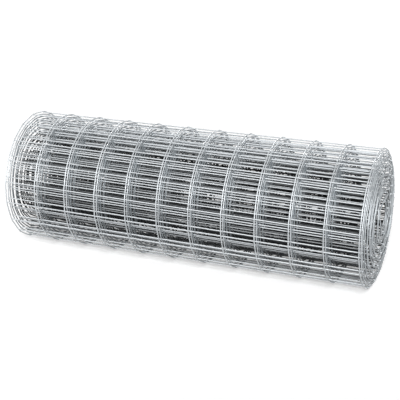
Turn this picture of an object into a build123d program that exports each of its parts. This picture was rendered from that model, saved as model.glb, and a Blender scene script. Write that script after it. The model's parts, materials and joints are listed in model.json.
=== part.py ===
from build123d import *
import math
import os

# A roll of welded wire fencing, lying on its side with its axis along X.
# The mesh has line wires, which run round the roll, welded onto the outside of
# cross wires, which run along it. The outer turn has both kinds of wire. The
# turns below it are one turned body with a bore, which carries the outer turn's
# cross wires, and the gap between those turns winds into both of its ends.

# Driving dimensions, in millimetres
wire_diameter = 2.7
line_wire_spacing = 75.0
line_wire_count = 12
cross_wire_spacing = 50.0
cross_wire_overhang = 2.5
weld_sink = 0.4
roll_diameter = 303.0
bore_diameter = 56.0
turn_pitch = 5.34
turn_gap_depth = 12.0
cut_overrun = 1.0

# The gap between the turns goes round in this many straight stretches to a turn
bends_on_turn = 16
# A cross wire's round top is drawn with slanted sides, which leave this share of its width on top
wire_top_share = 0.3

# The roll's length runs over the ends of the cross wires
roll_length = (line_wire_count - 1) * line_wire_spacing + 2 * cross_wire_overhang
roll_radius = roll_diameter / 2
bore_radius = bore_diameter / 2

# Below the outer turn lies the body, one pitch further in
body_radius = roll_radius - turn_pitch

# The outer turn's line wires bend at each cross wire and once in between, and rest on a straight stretch
cross_wire_radius = roll_radius - wire_diameter * 3 / 2 + weld_sink
cross_wire_count = round(2 * math.pi * cross_wire_radius / cross_wire_spacing)
line_wire_bends = 2 * cross_wire_count
half_bend = 180 / line_wire_bends
first_bend = half_bend - 90

# The welds press the line wires' corners into the cross wires, which sink as far into the body
line_wire_inside = roll_radius - wire_diameter
cross_wire_top = line_wire_inside / math.cos(math.radians(half_bend)) + weld_sink
cross_wire_height = cross_wire_top - body_radius + weld_sink
side_slant = wire_diameter * (1 - wire_top_share) / 2
wire_side_angle = math.degrees(math.atan2(cross_wire_height, side_slant))

# On the ends, a turn is as thick as its edge wire, and the rest of the pitch is open
turn_gap = turn_pitch - wire_diameter
first_gap_radius = bore_radius + wire_diameter
last_gap_radius = body_radius - wire_diameter - turn_gap

# The axis lies at the height of the roll's radius, so the roll rests on the floor
roll_axis = Axis((0, 0, roll_radius), (1, 0, 0))
axial_plane = Plane((0, 0, roll_radius), x_dir=(1, 0, 0), z_dir=(0, -1, 0))
middle_plane = Plane((0, 0, roll_radius), x_dir=(0, 1, 0), z_dir=(1, 0, 0))


def line_wire_places():
    """Places of the line wires along the axis, from the left end."""
    first_place = -(line_wire_count - 1) / 2 * line_wire_spacing
    return [first_place + number * line_wire_spacing for number in range(line_wire_count)]


def gap_bends():
    """Angles of the gap's corners, from the bore to the outer turn."""
    turns = (last_gap_radius - first_gap_radius) / turn_pitch
    bends = math.floor(turns * bends_on_turn)
    return [2 * math.pi * bend / bends_on_turn for bend in range(bends + 1)]


def gap_side(outward):
    """Corners of one side of the gap, at the given distance outward from its inner side.

    The radius grows by one pitch with each turn. Outwards, the gap winds clockwise as seen from the
    right end.
    """
    angles = gap_bends()
    radii = [first_gap_radius + outward + turn_pitch * angle / (2 * math.pi) for angle in angles]
    return [(r * math.cos(angle), -r * math.sin(angle)) for r, angle in zip(radii, angles)]


with BuildPart() as mesh_roll:
    # The turned body with its bore
    with BuildSketch(axial_plane):
        with Locations((0, (bore_radius + body_radius) / 2)):
            Rectangle(roll_length, body_radius - bore_radius)
    revolve(axis=roll_axis)

    # The gap between the turns, wound in a spiral into each end
    gap_floors = (roll_length / 2 - turn_gap_depth, -roll_length / 2 - cut_overrun)
    with BuildSketch(*[middle_plane.offset(floor) for floor in gap_floors]):
        with BuildLine():
            Polyline(*gap_side(0), *reversed(gap_side(turn_gap)), close=True)
        make_face()
    extrude(amount=turn_gap_depth + cut_overrun, mode=Mode.SUBTRACT)

    # The cross wires of the outer turn, along the body
    with BuildSketch(middle_plane):
        with PolarLocations(cross_wire_top - cross_wire_height / 2, cross_wire_count, start_angle=first_bend):
            Trapezoid(wire_diameter, cross_wire_height, wire_side_angle, rotation=-90)
    extrude(amount=roll_length / 2, both=True)

    # The line wires of the outer turn, round the cross wires
    with BuildSketch(*[middle_plane.offset(place) for place in line_wire_places()]):
        RegularPolygon(roll_radius, line_wire_bends, major_radius=False, rotation=first_bend)
        RegularPolygon(
            line_wire_inside, line_wire_bends, major_radius=False, rotation=first_bend, mode=Mode.SUBTRACT)
    extrude(amount=wire_diameter / 2, both=True)

mesh_roll.part.label = "mesh_roll"
os.makedirs("parts", exist_ok=True)
export_step(mesh_roll.part, "parts/mesh_roll.step")
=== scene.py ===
"""A roll of galvanised welded wire fencing, built wire by wire round its packed solid."""
import json
import math

import bpy
import numpy as np
from bpy.props import FloatProperty, FloatVectorProperty, IntProperty, PointerProperty
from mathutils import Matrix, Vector


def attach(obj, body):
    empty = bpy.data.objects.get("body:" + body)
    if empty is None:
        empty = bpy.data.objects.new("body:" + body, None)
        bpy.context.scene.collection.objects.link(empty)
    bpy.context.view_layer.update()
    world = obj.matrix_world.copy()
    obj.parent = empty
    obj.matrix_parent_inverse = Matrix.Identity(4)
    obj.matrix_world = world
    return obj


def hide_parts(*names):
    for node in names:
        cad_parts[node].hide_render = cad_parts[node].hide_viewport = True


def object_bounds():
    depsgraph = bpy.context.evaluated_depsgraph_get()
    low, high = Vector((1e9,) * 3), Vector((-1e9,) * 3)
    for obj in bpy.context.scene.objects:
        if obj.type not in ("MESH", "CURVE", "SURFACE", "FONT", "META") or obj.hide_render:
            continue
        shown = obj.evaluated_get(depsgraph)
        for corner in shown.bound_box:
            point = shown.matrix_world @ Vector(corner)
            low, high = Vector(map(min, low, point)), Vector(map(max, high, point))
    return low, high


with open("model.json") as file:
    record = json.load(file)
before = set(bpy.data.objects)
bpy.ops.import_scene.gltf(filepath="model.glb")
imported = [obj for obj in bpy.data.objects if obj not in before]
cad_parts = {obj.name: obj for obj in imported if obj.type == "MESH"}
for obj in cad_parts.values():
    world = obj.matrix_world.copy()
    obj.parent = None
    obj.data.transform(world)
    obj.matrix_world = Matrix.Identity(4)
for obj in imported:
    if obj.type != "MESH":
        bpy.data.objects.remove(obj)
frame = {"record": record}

bl_info = {
    "name": "Welded wire fencing roll",
    "version": (1, 0, 0),
    "blender": (4, 5, 0),
    "location": "View3D > Sidebar > Fencing",
    "description": "Winds a sheet of galvanised welded mesh into a roll, wire by wire",
    "category": "Add Mesh",
}

# The packed roll: its box, its outer radius and its bore
CAD_LOW, CAD_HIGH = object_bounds()
ROLL_RADIUS = (CAD_HIGH.z - CAD_LOW.z) / 2
BORE_RADIUS = frame["record"]["mounts"][0]["dims"]["r_mm"] / 1000
MM = 0.001

# Directions along the roll and upwards
ALONG, UP = np.array([1.0, 0, 0]), np.array([0, 0, 1.0])

# Sides of every wire, and the angle past which an edge stays sharp
WIRE_SIDES = 8
SHARP_ANGLE = math.radians(60)

# The tone of a wire is the strength of its dull patches, drawn between a least and a most; painted shade
# adds to it on the inner line wires
LINE_WIRE_TONES = (0.3, 0.8)
CROSS_WIRE_TONES = (0.0, 0.6)
WELD_TONE = 0.35

# Turns from the free end over which painted shade on the line wires grows, and over which the first step
# goes
LINE_SHADE_TURNS = (1.2, 2.6)
STEP_TURNS = (0.9, 1.4)


def linear(hex_colour):
    """Turn an sRGB hex value into linear red, green and blue by the sRGB curve."""
    srgb = np.array([int(hex_colour[i:i + 2], 16) for i in (1, 3, 5)]) / 255
    return tuple(np.where(srgb <= 0.04045, srgb / 12.92, ((srgb + 0.055) / 1.055) ** 2.4))


class FencingMesh(bpy.types.PropertyGroup):
    """Sizes of the flat mesh before it is rolled up"""
    wire_diameter: FloatProperty(
        name="Wire diameter", description="Diameter of every wire, with its zinc",
        default=2.7 * MM, unit="LENGTH")
    line_wire_count: IntProperty(
        name="Line wires", description="Wires that run round the roll", default=12)
    line_wire_spacing: FloatProperty(
        name="Line wire spacing", description="Distance between wires that run round the roll",
        default=75 * MM, unit="LENGTH")
    cross_wire_spacing: FloatProperty(
        name="Cross wire spacing", description="Distance between wires that run along the roll",
        default=50 * MM, unit="LENGTH")
    cross_wire_overhang: FloatProperty(
        name="Cross wire overhang", description="Length of a cross wire past the last line wire",
        default=2.5 * MM, unit="LENGTH")
    line_wire_stub: FloatProperty(
        name="Line wire stub", description="Length of a line wire past the last cross wire",
        default=8 * MM, unit="LENGTH")
    weld_sink: FloatProperty(
        name="Weld sink", description="Depth to which welding presses two wires into each other",
        default=0.4 * MM, unit="LENGTH")


class FencingWinding(bpy.types.PropertyGroup):
    """How the mesh is wound up, counted in turns from its free outer end"""
    turn_pitch: FloatProperty(
        name="Turn pitch", description="Radial distance from one turn to the next",
        default=5.34 * MM, unit="LENGTH")
    outer_inset: FloatProperty(
        name="Outer inset", description="How far the outer turn lies inside the packed roll",
        default=0.46 * MM, unit="LENGTH")
    free_end_angle: FloatProperty(
        name="Free end angle", description="Place of the outer end, from the front upwards",
        default=math.radians(238.55), subtype="ANGLE")
    bend_share: FloatProperty(
        name="Bend at welds", description="Share of the bending that a line wire does at its welds",
        default=0.65, subtype="FACTOR")
    bend_room: FloatProperty(
        name="Bend room", description="Most that a line wire comes in between two cross wires",
        default=2.2 * MM, unit="LENGTH")
    stagger: FloatProperty(
        name="Stagger", description="How far the inner turns end to the right of the outer one",
        default=10 * MM, unit="LENGTH")
    stagger_rate: FloatProperty(
        name="Stagger rate",
        description="How far a turn ends to the right of the one over it, just under the outside",
        default=1.65 * MM, unit="LENGTH")
    first_step: FloatProperty(
        name="First step", description="How far the outer turn lies to the left of the turns below it",
        default=1.7 * MM, unit="LENGTH")
    taper: FloatProperty(
        name="Taper",
        description="How much larger the outer turn's radius is at the right end than in the middle",
        default=1 * MM, unit="LENGTH")
    wander: FloatProperty(
        name="Wander", description="How far the inner turns stray along the axis",
        default=5 * MM, unit="LENGTH")
    skew: FloatProperty(
        name="Skew", description="How far the ends of the innermost cross wires stray round the roll",
        default=8 * MM, unit="LENGTH")
    slant: FloatProperty(
        name="Slant",
        description="How far the right ends of all cross wires are turned down on the front",
        default=5 * MM, unit="LENGTH")
    lobe: FloatProperty(
        name="Lobes", description="How far the outer turn is out of round",
        default=0.4 * MM, unit="LENGTH")
    core_lobe: FloatProperty(
        name="Core lobes", description="How far the innermost turn is out of round",
        default=3 * MM, unit="LENGTH")
    core_back: FloatProperty(
        name="Core back", description="How far the innermost turn lies behind the middle",
        default=6 * MM, unit="LENGTH")
    core_rise: FloatProperty(
        name="Core rise", description="How far the innermost turn lies above the middle",
        default=4 * MM, unit="LENGTH")
    flare: FloatProperty(
        name="Flare", description="How far the outer turn stands up at the top of the left end",
        default=1.0 * MM, unit="LENGTH")
    seed: IntProperty(
        name="Seed", description="Seed of the uneven winding and of the wires' tones", default=5)


class FencingFinish(bpy.types.PropertyGroup):
    """Colours and tones of the zinc and of the cut wire ends, and the painted shade inside the roll"""
    bright_zinc: FloatVectorProperty(
        name="Bright zinc", description="Clean zinc", subtype="COLOR", default=linear("#CDD1D4"))
    # The colour of the random dull patches, and also of the painted shade on the inner line wires
    dull_zinc_and_line_shade: FloatVectorProperty(
        name="Dull zinc", description="Zinc that has dulled", subtype="COLOR", default=linear("#7E8488"))
    # Painted shade inside the roll: the colour the zinc is painted there, the depths under the outside
    # at which the shade begins and is darkest, its reach from the two ends, and how far its darkest part
    # lies below the axis
    inner_shade_colour: FloatVectorProperty(
        name="Painted inner shade", description="Dark zinc deep inside the roll", subtype="COLOR",
        default=linear("#181A1C"))
    inner_shade_start: FloatProperty(
        name="Shelter start", description="Depth under the outside at which the zinc begins to darken",
        default=8 * MM, unit="LENGTH")
    inner_shade_depth: FloatProperty(
        name="Shelter depth", description="Depth under the outside at which the zinc is darkest",
        default=64 * MM, unit="LENGTH")
    inner_shade_left_reach: FloatProperty(
        name="Left reach", description="Distance from the left end at which the zinc is darkest",
        default=9 * MM, unit="LENGTH")
    inner_shade_right_reach: FloatProperty(
        name="Right reach",
        description="Distance from the inner turns' right end at which the zinc is darkest",
        default=10 * MM, unit="LENGTH")
    inner_shade_drop: FloatProperty(
        name="Shelter drop",
        description="How far the darkest part lies below the axis, as light comes from above",
        default=13 * MM, unit="LENGTH")
    # Painted shade on the line wires below the two outer turns, for the shadow of the turns above, less
    # on the right end's wire, which lies open to the light
    inner_line_shade: FloatProperty(
        name="Inner line shade", description="Tone added to the line wires below the two outer turns",
        default=1.4)
    end_line_shade: FloatProperty(
        name="End line shade", description="The same for the line wire of the right end, which lies open",
        default=0.65)
    cut_steel: FloatVectorProperty(
        name="Cut steel", description="Sheared wire ends", subtype="COLOR", default=linear("#74787B"))


class FencingStage(bpy.types.PropertyGroup):
    """Camera, floor and light"""
    camera_distance: FloatProperty(
        name="Camera distance", description="From the middle of the roll", default=2.49, unit="LENGTH")
    camera_azimuth: FloatProperty(
        name="Camera azimuth", description="From the front towards the right",
        default=math.radians(22.172), subtype="ANGLE")
    camera_elevation: FloatProperty(
        name="Camera elevation", description="Above the level of the roll's axis",
        default=math.radians(19.47), subtype="ANGLE")
    camera_lens: FloatProperty(
        name="Lens", description="Focal length in millimetres", default=98.81, unit="CAMERA")
    aim_right: FloatProperty(
        name="Aim right", description="How far right of the roll's middle the camera aims",
        default=6.4 * MM, unit="LENGTH")
    aim_down: FloatProperty(
        name="Aim down", description="How far below the roll's middle the camera aims",
        default=13 * MM, unit="LENGTH")
    floor_colour: FloatVectorProperty(
        name="Floor", description="Matt white floor", subtype="COLOR", default=linear("#FCFCFC"))
    floor_bounce: FloatVectorProperty(
        name="Floor bounce", description="Floor as matt surfaces see it", subtype="COLOR",
        default=linear("#606060"))
    floor_glow: FloatProperty(
        name="Floor glow", description="White that the camera and the metal see added on the floor",
        default=0.2)
    sky_light: FloatProperty(
        name="Sky light", description="Strength of the even light from all round", default=0.12)
    top_light: FloatProperty(
        name="Top light", description="Strength of the high lamp in front", default=2.3)
    top_spread: FloatProperty(
        name="Top spread", description="Angle that the high lamp in front fills",
        default=math.radians(24), subtype="ANGLE")
    top_from: FloatVectorProperty(
        name="Top from", description="Direction in which the high lamp in front stands",
        default=(0.3, -1.0, 0.8), subtype="DIRECTION")
    front_light: FloatProperty(
        name="Front light", description="Strength of the low lamp in front", default=2.7)
    front_spread: FloatProperty(
        name="Front spread", description="Angle that the low lamp in front fills",
        default=math.radians(8), subtype="ANGLE")
    front_from: FloatVectorProperty(
        name="Front from", description="Direction in which the low lamp in front stands",
        default=(0.4, -0.9, 0.31), subtype="DIRECTION")
    back_light: FloatProperty(
        name="Back light", description="Strength of the low lamp behind the roll", default=1.8)
    back_spread: FloatProperty(
        name="Back spread", description="Angle that the low lamp behind the roll fills",
        default=math.radians(24), subtype="ANGLE")
    back_from: FloatVectorProperty(
        name="Back from", description="Direction in which the low lamp behind the roll stands",
        default=(-0.7, 1.0, 0.25), subtype="DIRECTION")


def mesh_sizes():
    """The scene's sizes of the flat mesh."""
    return bpy.context.scene.fencing_mesh


def winding_sizes():
    """The scene's sizes of the winding."""
    return bpy.context.scene.fencing_winding


def finish_colours():
    """The scene's colours and tones of the wire."""
    return bpy.context.scene.fencing_finish


def line_wire_lift():
    """Height of a line wire's centre over the cross wires' centres: a diameter less the sink."""
    return mesh_sizes().wire_diameter - mesh_sizes().weld_sink


def free_end_radius():
    """Radius of the cross wires' centres at the free end.

    The line wires' tops go in by a share of the pitch between the lowest and the highest point of
    the outer turn, so the free end stands out by the mean of those shares and the roll is as high
    as the packed solid.
    """
    winding = winding_sizes()
    outer_radius = ROLL_RADIUS - winding.outer_inset + mean_share() * winding.turn_pitch
    return outer_radius - line_wire_lift() - mesh_sizes().wire_diameter / 2


def mean_share():
    """Mean of the turns from the free end to the top and to the bottom of the outer turn."""
    top = (winding_sizes().free_end_angle - math.pi / 2) % (2 * math.pi)
    return (top + math.pi / 2) / (2 * math.pi)


def axis_height():
    """Height of the axis at which the outer turn's lowest line wire touches the floor.

    Half a turn lies between the top and the bottom, so the bottom is a quarter of the pitch nearer
    to the axis than their mean.
    """
    winding = winding_sizes()
    return ROLL_RADIUS - winding.outer_inset - winding.turn_pitch / 4


def wound(arc):
    """Radius and angle of the spiral after a length of mesh, counted from the free end.

    The radius shrinks by the pitch p with each turn, so after a length s it is the root of
    R squared less p s over pi, and the angle turned is 2 pi times R less that radius, over p.
    """
    pitch = winding_sizes().turn_pitch
    start = free_end_radius()
    radius = np.sqrt(start ** 2 - pitch * arc / math.pi)
    return radius, 2 * math.pi * (start - radius) / pitch


def bay_count():
    """Whole bays of mesh from the free end to the bore."""
    inner = BORE_RADIUS + mesh_sizes().wire_diameter
    length = math.pi * (free_end_radius() ** 2 - inner ** 2) / winding_sizes().turn_pitch
    return int(length / mesh_sizes().cross_wire_spacing)


def turn_count():
    """Turns from the free end to the end at the bore."""
    return wound(bay_count() * mesh_sizes().cross_wire_spacing)[1] / (2 * math.pi)


def smooth(value, low, high):
    """0 up to low, 1 from high, and between them the cubic 3 t squared less 2 t cubed."""
    part = np.clip((value - low) / (high - low), 0, 1)
    return part ** 2 * (3 - 2 * part)


def lobes(angle, turns):
    """Out-of-round shape: a few waves round the turn, with seeded phases that drift from turn to turn.

    Each wave is as high as one over its number, and their common height goes from the outer turn's
    to the core's with the square of the depth.
    """
    winding = winding_sizes()
    draw = np.random.default_rng(winding.seed)
    waves = np.array([2, 3, 4, 6])
    most_drift = 0.7
    phases = draw.uniform(0, 2 * math.pi, len(waves))
    drifts = draw.uniform(-most_drift, most_drift, len(waves))
    shape = sum(np.sin(w * angle + p + d * turns) / w for w, p, d in zip(waves, phases, drifts))
    height = winding.lobe + (winding.core_lobe - winding.lobe) * (turns / turn_count()) ** 2
    return height * shape


def slow_waves(angle, waves, number):
    """Sum of sines with so many waves to a turn, which don't repeat from turn to turn.

    Their phases are drawn from the seed with the given number added.
    """
    draw = np.random.default_rng(winding_sizes().seed + number)
    phases = draw.uniform(0, 2 * math.pi, len(waves))
    return sum(np.sin(w * angle + p) for w, p in zip(waves, phases))


def astray(angle, depth_share):
    """Straying of the mesh along the axis: half the sum of four slow waves, times wander and depth."""
    shape = slow_waves(angle, (0.31, 0.62, 1.38, 2.55), 3) / 2
    return winding_sizes().wander * shape * depth_share


def askew(angle, depth_share):
    """Turning of the mesh in its own plane, from -1 to 1: the mean of three slow waves, times depth."""
    waves = (0.43, 0.87, 1.71)
    return slow_waves(angle, waves, 4) / len(waves) * depth_share


def on_roll(arc, across, lift):
    """Place of a point of the mesh on the roll.

    arc runs along the mesh from its free end, across runs over its width from the middle, and lift
    is the height over the cross wires' centres. The point goes to the spiral's radius and angle,
    less the chord that a line wire makes between two welds, which is a parabola in each bay.

    The turns move to the right with the hyperbolic tangent of their number, and by one step at the
    back, where the outer turn ends. The angle is changed by the skew less the slant, over the
    radius, in proportion to the distance from the middle. The roll widens towards the right, where
    its axis rises as much, so that it lies on the floor. The turns' centres move by a growing share
    of the core's offset, and the outer turn flares at the top of the left end.
    """
    mesh, winding = mesh_sizes(), winding_sizes()
    spacing = mesh.cross_wire_spacing
    radius, angle = wound(arc)
    turns = angle / (2 * math.pi)
    part = np.mod(arc / spacing, 1)
    chord = spacing ** 2 / (2 * radius)
    chord_depth = np.minimum(winding.bend_share * chord, 4 * winding.bend_room)
    depth_share = turns / turn_count()
    left = -(mesh.line_wire_count - 1) / 2 * mesh.line_wire_spacing
    side_share = across / -left
    turned = winding.free_end_angle - angle
    turned = turned + side_share * (winding.skew * askew(angle, depth_share) - winding.slant) / radius
    stagger = winding.stagger * np.tanh(turns * winding.stagger_rate / winding.stagger)
    step = winding.first_step * smooth(turns, *STEP_TURNS)
    wider = winding.taper * side_share
    flare = winding.flare * np.exp(-(across - left) / mesh.line_wire_spacing - turns)
    flare = flare * np.clip(np.sin(turned), 0, 1) ** 2
    out = radius * (1 + wider / free_end_radius()) + lobes(angle, turns) + flare
    out = out + lift - chord_depth * part * (1 - part)
    return np.stack([
        across + stagger + step + astray(angle, depth_share),
        -np.cos(turned) * out + winding.core_back * depth_share,
        axis_height() + wider + np.sin(turned) * out + winding.core_rise * depth_share,
    ], axis=-1)


def unit(vectors):
    """Vectors divided by their lengths."""
    return vectors / np.linalg.norm(vectors, axis=-1, keepdims=True)


def tubes(paths, side):
    """Round wires along many paths, as vertices, wall quads and end caps.

    The centre line's tangent t is the difference of its neighbours. side, less its part along t,
    gives the first radial direction, and t crossed with that the second. The wall is the centre
    line plus the radius times the cosine and sine of the angle round the wire in those directions.
    """
    radius = mesh_sizes().wire_diameter / 2
    tangent = unit(np.gradient(paths, axis=1))
    side = np.broadcast_to(side, paths.shape)
    first = unit(side - (side * tangent).sum(-1, keepdims=True) * tangent)
    second = np.cross(tangent, first)
    around = np.linspace(0, 2 * math.pi, WIRE_SIDES, endpoint=False)[:, None]
    wall = (paths[:, :, None] + radius * (np.cos(around) * first[:, :, None]
                                          + np.sin(around) * second[:, :, None]))
    wires, points = paths.shape[:2]
    index = np.arange(wires * points * WIRE_SIDES).reshape(wires, points, WIRE_SIDES)
    turned = np.roll(index, -1, axis=2)
    quads = np.stack([index[:, :-1], turned[:, :-1], turned[:, 1:], index[:, 1:]], axis=-1)
    caps = np.concatenate([index[:, 0, ::-1], index[:, -1]])
    return wall.reshape(-1, 3), quads.reshape(-1, 4), caps


def make_piece(name, vertices, quads, caps, tones, materials):
    """Put a piece's arrays into a mesh object that rides on the roll.

    The caps get the last of the materials, and each vertex keeps its wire's tone.
    """
    data = bpy.data.meshes.new(name)
    data.from_pydata(vertices, [], quads.tolist() + caps.tolist())
    for material in materials:
        data.materials.append(material)
    slots = np.zeros(len(data.polygons), np.int32)
    slots[len(quads):] = len(materials) - 1
    data.polygons.foreach_set("material_index", slots)
    data.polygons.foreach_set("use_smooth", np.ones(len(data.polygons), bool))
    data.set_sharp_from_angle(angle=SHARP_ANGLE)
    tone = data.attributes.new("wire_tone", "FLOAT", "POINT")
    tone.data.foreach_set("value", np.asarray(tones, np.float32))
    data.validate()
    piece = bpy.data.objects.new(name, data)
    bpy.context.scene.collection.objects.link(piece)
    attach(piece, "root")
    return piece


def add_node(tree, kind, inputs=None, **settings):
    """Add a node, set its settings, and set or link each of its named inputs."""
    made = tree.nodes.new(kind)
    for name, value in settings.items():
        setattr(made, name, value)
    for socket, value in (inputs or {}).items():
        if isinstance(value, bpy.types.NodeSocket):
            tree.links.new(value, made.inputs[socket])
        else:
            made.inputs[socket].default_value = value
    return made


def new_material(name):
    """An empty node material and its tree."""
    material = bpy.data.materials.new(name)
    material.use_nodes = True
    tree = material.node_tree
    tree.nodes.clear()
    return material, tree


def painted_inner_shade(tree, place):
    """Share of painted shade: 0 near the outside and the ends of the roll, rising smoothly to 1 in the
    middle of its inside.

    The depth is the roll's radius less the distance from a line that lies the drop below the axis.
    It and the distances from the two ends go through a smooth step each, and the three are
    multiplied.
    """
    finish = finish_colours()
    from_middle = add_node(tree, "ShaderNodeVectorMath", {
        0: place, 1: (0, 0, axis_height() - finish.inner_shade_drop)}, operation="SUBTRACT")
    from_axis = add_node(tree, "ShaderNodeVectorMath", {
        0: from_middle.outputs[0], 1: (0, 1, 1)}, operation="MULTIPLY")
    distance = add_node(tree, "ShaderNodeVectorMath", {0: from_axis.outputs[0]}, operation="LENGTH")
    deep = add_node(tree, "ShaderNodeMapRange", {
        "Value": distance.outputs["Value"], "From Min": ROLL_RADIUS - finish.inner_shade_start,
        "From Max": ROLL_RADIUS - finish.inner_shade_depth}, interpolation_type="SMOOTHSTEP")
    axes = add_node(tree, "ShaderNodeSeparateXYZ", {"Vector": place})
    share = deep.outputs["Result"]
    right_end = CAD_HIGH.x + winding_sizes().stagger
    for end, reach in ((CAD_LOW.x, finish.inner_shade_left_reach), (right_end, -finish.inner_shade_right_reach)):
        inside = add_node(tree, "ShaderNodeMapRange", {
            "Value": axes.outputs["X"], "From Min": end, "From Max": end + reach},
            interpolation_type="SMOOTHSTEP")
        share = add_node(tree, "ShaderNodeMath", {
            0: share, 1: inside.outputs["Result"]}, operation="MULTIPLY").outputs[0]
    return share


def zinc_coated_wire():
    """Zinc coating on drawn steel wire: a satin grey metal with cloudy dull patches.

    Its thin dull skin scatters light, so it is only half metallic. Some wires are duller than
    others at random, the inner line wires get painted shade, and all wires are painted dark deep in the
    roll as shade.
    """
    name = "zinc_coated_wire"
    if name in bpy.data.materials:
        return bpy.data.materials[name]
    finish = finish_colours()
    material, tree = new_material(name)
    place = add_node(tree, "ShaderNodeTexCoord")
    # The patches' width along a wire, and the zinc's grain, drawn coarser than it is so that it shows
    mottle_size = 14 * MM
    grain_size = 1.5 * MM
    mottle = add_node(tree, "ShaderNodeTexNoise", {
        "Vector": place.outputs["Object"], "Scale": 1 / mottle_size, "Detail": 3.0, "Roughness": 0.6})
    grain = add_node(tree, "ShaderNodeTexNoise", {
        "Vector": place.outputs["Object"], "Scale": 1 / grain_size, "Detail": 2.0})
    tone = add_node(tree, "ShaderNodeAttribute", attribute_name="wire_tone")
    # The wire's tone gives random dull patches and, on the inner line wires, painted shade
    dullness_and_line_shade = add_node(tree, "ShaderNodeMath", {
        0: mottle.outputs["Fac"], 1: tone.outputs["Fac"]}, operation="MULTIPLY")
    colour = add_node(tree, "ShaderNodeMix", {
        "Factor": dullness_and_line_shade.outputs[0], "A": (*finish.bright_zinc, 1), "B": (*finish.dull_zinc_and_line_shade, 1)},
        data_type="RGBA")
    # Painted shade: deep inside the roll and away from its ends the colour goes to the dark shade
    # colour, as the zinc there lies in shade
    colour = add_node(tree, "ShaderNodeMix", {
        "Factor": painted_inner_shade(tree, place.outputs["Object"]), "A": colour.outputs["Result"],
        "B": (*finish.inner_shade_colour, 1)}, data_type="RGBA")
    roughness = add_node(tree, "ShaderNodeMapRange", {
        "Value": grain.outputs["Fac"], "To Min": 0.4, "To Max": 0.56})
    bump = add_node(tree, "ShaderNodeBump", {
        "Height": grain.outputs["Fac"], "Strength": 0.25, "Distance": 0.1 * MM})
    shader = add_node(tree, "ShaderNodeBsdfPrincipled", {
        "Base Color": colour.outputs["Result"], "Metallic": 0.5,
        "Roughness": roughness.outputs["Result"], "Normal": bump.outputs["Normal"]})
    add_node(tree, "ShaderNodeOutputMaterial", {"Surface": shader.outputs["BSDF"]})
    return material


def sheared_steel():
    """The sheared end of a wire: bare grey steel, rougher and darker than the zinc round it."""
    name = "sheared_steel"
    if name in bpy.data.materials:
        return bpy.data.materials[name]
    material, tree = new_material(name)
    place = add_node(tree, "ShaderNodeTexCoord")
    # The width of the torn grains across the sheared face
    tear_size = 0.6 * MM
    tear = add_node(tree, "ShaderNodeTexNoise", {
        "Vector": place.outputs["Object"], "Scale": 1 / tear_size})
    bump = add_node(tree, "ShaderNodeBump", {
        "Height": tear.outputs["Fac"], "Strength": 0.5, "Distance": 0.2 * MM})
    shader = add_node(tree, "ShaderNodeBsdfPrincipled", {
        "Base Color": (*finish_colours().cut_steel, 1), "Metallic": 1.0, "Roughness": 0.55,
        "Normal": bump.outputs["Normal"]})
    add_node(tree, "ShaderNodeOutputMaterial", {"Surface": shader.outputs["BSDF"]})
    return material


def wire_materials():
    """The materials of a wire's wall and of its ends."""
    return [zinc_coated_wire(), sheared_steel()]


def line_wire_places():
    """Places of the line wires over the width, from the left end."""
    mesh = mesh_sizes()
    return (np.arange(mesh.line_wire_count) - (mesh.line_wire_count - 1) / 2) * mesh.line_wire_spacing


def cross_wire_arcs():
    """Lengths along the mesh at which the cross wires lie, from the free end."""
    return np.arange(bay_count() + 1) * mesh_sizes().cross_wire_spacing


def line_wire_arcs():
    """Lengths along the mesh at which a line wire has a point: closer together about each weld."""
    mesh = mesh_sizes()
    part_shares = np.array([0, 0.08, 0.3, 0.5, 0.7, 0.92])
    bays = np.arange(bay_count())[:, None] + part_shares
    arcs = np.append(bays.ravel(), bay_count()) * mesh.cross_wire_spacing
    return np.concatenate([[-mesh.line_wire_stub], arcs, [arcs[-1] + mesh.line_wire_stub]])


def add_line_wires(name, places):
    """Line wires at the given places over the width: tubes that follow the spiral over the cross wires.

    Below the two outer turns their tone carries painted shade for the shadow of the turns above,
    but less on the right end's wire, which lies open to the light.
    """
    finish = finish_colours()
    arcs = line_wire_arcs()
    paths = on_roll(arcs[None, :], places[:, None], line_wire_lift())
    vertices, quads, caps = tubes(paths, ALONG)
    draw = np.random.default_rng(winding_sizes().seed + 1)
    tones = draw.uniform(*LINE_WIRE_TONES, len(places))[:, None]
    turns = wound(arcs)[1] / (2 * math.pi)
    # Painted shade: the line wires below the two outer turns are drawn darker, the open right end's wire
    # less so
    inside = places < line_wire_places()[-1]
    painted_line_shade = np.where(inside, finish.inner_line_shade, finish.end_line_shade)[:, None]
    tones = tones + painted_line_shade * smooth(turns, *LINE_SHADE_TURNS)
    tones = np.repeat(tones.ravel(), WIRE_SIDES)
    return make_piece(name, vertices, quads, caps, tones, wire_materials())


class FENCING_OT_line_wires(bpy.types.Operator):
    """Wind the line wires round the roll, those of the left half and of the right half"""
    bl_idname = "fencing.line_wires"
    bl_label = "Line wires"

    def execute(self, context):
        left, right = np.array_split(line_wire_places(), 2)
        piece = add_line_wires("left_line_wires", left)
        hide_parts("mesh_roll")
        add_line_wires("right_line_wires", right)
        return {"FINISHED"}


class FENCING_OT_cross_wires(bpy.types.Operator):
    """Lay the cross wires along the roll, under the line wires"""
    bl_idname = "fencing.cross_wires"
    bl_label = "Cross wires"

    def execute(self, context):
        overhang = mesh_sizes().cross_wire_overhang
        places = line_wire_places()
        middles = (places[1:] + places[:-1]) / 2
        ends = np.array([places[0] - overhang, places[-1] + overhang])
        across = np.sort(np.concatenate([places, middles, ends]))
        arcs = cross_wire_arcs()
        paths = on_roll(arcs[:, None], across[None, :], 0.0)
        vertices, quads, caps = tubes(paths, UP)
        draw = np.random.default_rng(winding_sizes().seed + 2)
        tones = np.repeat(draw.uniform(*CROSS_WIRE_TONES, len(arcs)), len(across) * WIRE_SIDES)
        make_piece("cross_wires", vertices, quads, caps, tones, wire_materials())
        return {"FINISHED"}


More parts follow.
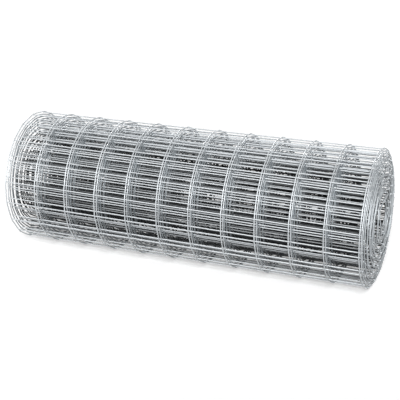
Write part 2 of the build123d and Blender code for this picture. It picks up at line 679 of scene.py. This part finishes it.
class FENCING_OT_welds(bpy.types.Operator):
    """Set a weld nugget in every crossing"""
    bl_idname = "fencing.welds"
    bl_label = "Welds"

    def execute(self, context):
        arcs, places = cross_wire_arcs()[:, None], line_wire_places()[None, :]
        centres = on_roll(arcs, places, line_wire_lift() / 2)
        outward = unit(on_roll(arcs, places, line_wire_lift()) - centres)
        vertices, quads, caps = nuggets(centres.reshape(-1, 3), outward.reshape(-1, 3))
        tones = np.full(len(vertices), WELD_TONE)
        make_piece("welds", vertices, quads, caps, tones, wire_materials()[:1])
        return {"FINISHED"}


def nuggets(centres, outward):
    """Flattened balls, one at each crossing, as vertices, quads and end caps.

    Each is a globe: the sine of the latitude gives the height, its cosine the ring's radius, and
    the rings lie round the direction outward. Its two smallest rings are closed by caps.
    """
    wire = mesh_sizes().wire_diameter
    spread, height = 0.66 * wire, 0.55 * wire
    latitudes = np.radians([-70, -25, 25, 70])
    corners = 6
    along = np.broadcast_to(ALONG, outward.shape)
    round_way = np.cross(outward, along)
    turn = np.linspace(0, 2 * math.pi, corners, endpoint=False)
    ring = (np.cos(turn)[:, None] * along[:, None] + np.sin(turn)[:, None] * round_way[:, None])
    points = (centres[:, None, None] + height * np.sin(latitudes)[:, None, None] * outward[:, None, None]
              + spread * np.cos(latitudes)[:, None, None] * ring[:, None])
    index = np.arange(points.size // 3).reshape(len(centres), len(latitudes), corners)
    turned = np.roll(index, -1, axis=2)
    quads = np.stack([index[:, :-1], index[:, 1:], turned[:, 1:], turned[:, :-1]], axis=-1)
    caps = np.concatenate([index[:, 0], index[:, -1, ::-1]])
    return points.reshape(-1, 3), quads.reshape(-1, 4), caps


def seen_rays(tree):
    """1 on rays that see the white set and else 0: the largest of three kinds of ray.

    They are the rays of the camera, of mirror reflections and of transmission.
    """
    path = add_node(tree, "ShaderNodeLightPath")
    first = add_node(tree, "ShaderNodeMath", {
        0: path.outputs["Is Camera Ray"], 1: path.outputs["Is Glossy Ray"]}, operation="MAXIMUM")
    both = add_node(tree, "ShaderNodeMath", {
        0: first.outputs[0], 1: path.outputs["Is Transmission Ray"]}, operation="MAXIMUM")
    return both.outputs[0]


def add_lamp(name, strength, spread, place):
    """A soft lamp far away in the direction of the given place, as a large softbox or a window."""
    lamp = bpy.data.lights.new(name, "SUN")
    lamp.energy = strength
    lamp.angle = spread
    holder = bpy.data.objects.new(name, lamp)
    holder.location = place
    holder.rotation_euler = (-place).to_track_quat("-Z", "Y").to_euler()
    bpy.context.scene.collection.objects.link(holder)


def add_floor(stage):
    """A wide flat floor, matt white to the camera and the metal and greyer to matt surfaces."""
    reach = 30.0
    data = bpy.data.meshes.new("floor")
    corners = [(-reach, -reach, 0), (reach, -reach, 0), (reach, reach, 0), (-reach, reach, 0)]
    data.from_pydata(corners, [], [(0, 1, 2, 3)])
    material, tree = new_material("matt_white_floor")
    seen = seen_rays(tree)
    colour = add_node(tree, "ShaderNodeMix", {
        "Factor": seen, "A": (*stage.floor_bounce, 1), "B": (*stage.floor_colour, 1)},
        data_type="RGBA")
    matt = add_node(tree, "ShaderNodeBsdfDiffuse", {"Color": colour.outputs["Result"]})
    glow_on = add_node(tree, "ShaderNodeMath", {0: seen, 1: stage.floor_glow}, operation="MULTIPLY")
    glow = add_node(tree, "ShaderNodeEmission", {"Strength": glow_on.outputs[0]})
    both = add_node(tree, "ShaderNodeAddShader", {0: matt.outputs[0], 1: glow.outputs[0]})
    add_node(tree, "ShaderNodeOutputMaterial", {"Surface": both.outputs[0]})
    data.materials.append(material)
    floor = bpy.data.objects.new("floor", data)
    bpy.context.scene.collection.objects.link(floor)


def add_world(stage):
    """White all round to the camera and the metal, and a weak even light on matt surfaces."""
    world = bpy.data.worlds.new("white_studio")
    world.use_nodes = True
    tree = world.node_tree
    tree.nodes.clear()
    strength = add_node(tree, "ShaderNodeMath", {
        0: seen_rays(tree), 1: stage.sky_light}, operation="MAXIMUM")
    sky = add_node(tree, "ShaderNodeBackground", {
        "Color": (1, 1, 1, 1), "Strength": strength.outputs[0]})
    add_node(tree, "ShaderNodeOutputWorld", {"Surface": sky.outputs["Background"]})
    bpy.context.scene.world = world


def add_camera(stage):
    """The camera at its azimuth, elevation and distance from the roll's middle.

    The sines and cosines of the two angles give the directions to the right and outward to the
    camera, and outward crossed with right is up. The camera aims a little beside the middle.
    """
    azimuth, elevation = stage.camera_azimuth, stage.camera_elevation
    right = Vector((math.cos(azimuth), math.sin(azimuth), 0))
    level = Vector((math.sin(azimuth), -math.cos(azimuth), 0))
    outward = level * math.cos(elevation) + Vector((0, 0, math.sin(elevation)))
    up = outward.cross(right)
    middle = Vector((0, 0, ROLL_RADIUS))
    aim = middle + right * stage.aim_right - up * stage.aim_down
    camera = bpy.data.objects.new("camera", bpy.data.cameras.new("camera"))
    camera.location = middle + outward * stage.camera_distance
    camera.rotation_euler = (aim - camera.location).to_track_quat("-Z", "Y").to_euler()
    camera.data.lens = stage.camera_lens
    bpy.context.scene.collection.objects.link(camera)
    bpy.context.scene.camera = camera


class FENCING_OT_stage(bpy.types.Operator):
    """Set the white floor, the soft light and the camera"""
    bl_idname = "fencing.stage"
    bl_label = "Stage"

    def execute(self, context):
        stage = context.scene.fencing_stage
        add_floor(stage)
        add_world(stage)
        add_lamp("top", stage.top_light, stage.top_spread, Vector(stage.top_from))
        add_lamp("front", stage.front_light, stage.front_spread, Vector(stage.front_from))
        add_lamp("back", stage.back_light, stage.back_spread, Vector(stage.back_from))
        add_camera(stage)
        context.scene.view_settings.view_transform = "Standard"
        return {"FINISHED"}


class FENCING_PT_sidebar(bpy.types.Panel):
    """Sizes, colours and steps of the fencing roll"""
    bl_label = "Fencing roll"
    bl_idname = "FENCING_PT_sidebar"
    bl_space_type = "VIEW_3D"
    bl_region_type = "UI"
    bl_category = "Fencing"

    def draw(self, context):
        for step in STEPS:
            self.layout.operator(step.bl_idname)
        for name in GROUPS:
            group = getattr(context.scene, name)
            box = self.layout.box()
            box.label(text=GROUPS[name].__doc__)
            for setting in GROUPS[name].__annotations__:
                box.prop(group, setting)


GROUPS = {
    "fencing_mesh": FencingMesh,
    "fencing_winding": FencingWinding,
    "fencing_finish": FencingFinish,
    "fencing_stage": FencingStage,
}
STEPS = (
    FENCING_OT_line_wires,
    FENCING_OT_cross_wires,
    FENCING_OT_welds,
    FENCING_OT_stage,
)


def register():
    """Register the settings, the steps and the sidebar panel."""
    for group in GROUPS.values():
        bpy.utils.register_class(group)
    for name, group in GROUPS.items():
        setattr(bpy.types.Scene, name, PointerProperty(type=group))
    for item in (*STEPS, FENCING_PT_sidebar):
        bpy.utils.register_class(item)


def unregister():
    """Take all of them out again, in the opposite order."""
    for item in (FENCING_PT_sidebar, *reversed(STEPS)):
        bpy.utils.unregister_class(item)
    for name in GROUPS:
        delattr(bpy.types.Scene, name)
    for group in reversed(GROUPS.values()):
        bpy.utils.unregister_class(group)


def main():
    """Build the roll and its stage."""
    register()
    bpy.ops.fencing.line_wires()
    bpy.ops.fencing.cross_wires()
    bpy.ops.fencing.welds()
    bpy.ops.fencing.stage()


if __name__ == "__main__":
    main()
